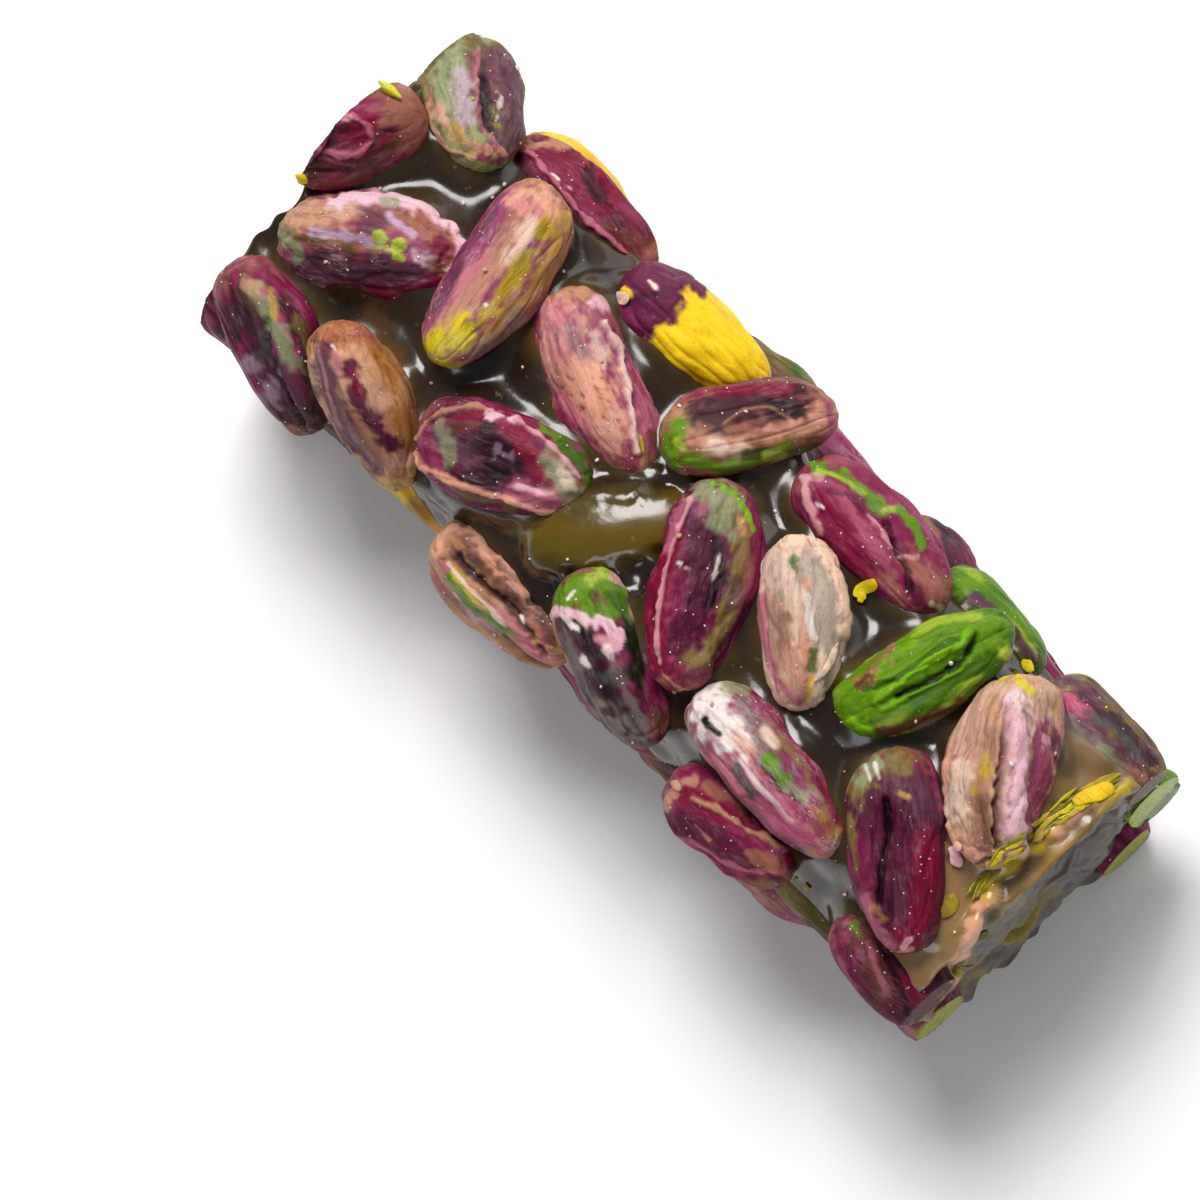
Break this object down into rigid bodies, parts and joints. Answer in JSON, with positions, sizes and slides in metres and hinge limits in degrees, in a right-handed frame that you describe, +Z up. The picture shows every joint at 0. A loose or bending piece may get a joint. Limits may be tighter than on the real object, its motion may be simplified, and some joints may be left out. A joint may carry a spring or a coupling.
{
  "type": "pistachio turkish delight bar",
  "caption": "Finger of dark set jelly rolled in whole pistachio kernels and knife-cut flat at both ends; it lies flat on its own kernels.",
  "frame": {"origin": "on the floor, under the middle of the bar", "axes": "+X along the bar towards the cut end that shows in the picture, +Z up, +Y to the bar's left seen from above with +X ahead"},
  "size_m": [0.081, 0.0338, 0.0285],
  "materials": {
    "jelly": "glossy, translucent, dark amber-brown set starch jelly",
    "plum_skin": "dry, finely wrinkled papery kernel skin, plum purple with pale bloom",
    "rose_skin": "dry papery kernel skin, dusty rose with pale streaks",
    "tan_skin": "dry papery kernel skin, tan brown with darker creases",
    "olive_skin": "dry papery kernel skin, olive to brown",
    "green_flesh": "peeled kernel, bright green and faintly waxy",
    "yellow_flesh": "peeled kernel, bright yellow and faintly waxy"
  },
  "bodies": {
    "root": {"jelly": "jelly", "kernel_01": "plum_skin", "kernel_02": "olive_skin", "kernel_03": "olive_skin", "kernel_04": "rose_skin", "kernel_05": "plum_skin", "kernel_06": "plum_skin", "kernel_07": "rose_skin", "kernel_08": "plum_skin", "kernel_09": "yellow_flesh", "kernel_10": "rose_skin", "kernel_11": "tan_skin", "kernel_12": "olive_skin", "kernel_13": "yellow_flesh", "kernel_14": "plum_skin", "kernel_15": "rose_skin", "kernel_16": "yellow_flesh", "kernel_17": "rose_skin", "kernel_18": "olive_skin", "kernel_19": "plum_skin", "kernel_20": "tan_skin", "kernel_21": "plum_skin", "kernel_22": "rose_skin", "kernel_23": "plum_skin", "kernel_24": "tan_skin", "kernel_25": "plum_skin", "kernel_26": "rose_skin", "kernel_27": "plum_skin", "kernel_28": "green_flesh", "kernel_29": "green_flesh", "kernel_30": "rose_skin", "kernel_31": "plum_skin", "kernel_32": "rose_skin", "kernel_33": "olive_skin", "kernel_34": "plum_skin", "kernel_35": "plum_skin", "kernel_36": "tan_skin", "kernel_37": "olive_skin", "kernel_38": "green_flesh", "kernel_39": "plum_skin", "kernel_40": "olive_skin", "kernel_41": "rose_skin", "kernel_42": "plum_skin", "kernel_43": "plum_skin", "kernel_44": "rose_skin", "kernel_45": "olive_skin", "kernel_46": "tan_skin", "kernel_47": "plum_skin", "kernel_48": "olive_skin", "kernel_49": "tan_skin", "kernel_50": "plum_skin", "kernel_51": "rose_skin", "kernel_52": "olive_skin", "kernel_53": "plum_skin", "kernel_54": "rose_skin", "kernel_55": "olive_skin", "kernel_56": "tan_skin", "kernel_57": "plum_skin"}
  },
  "joints": []
}
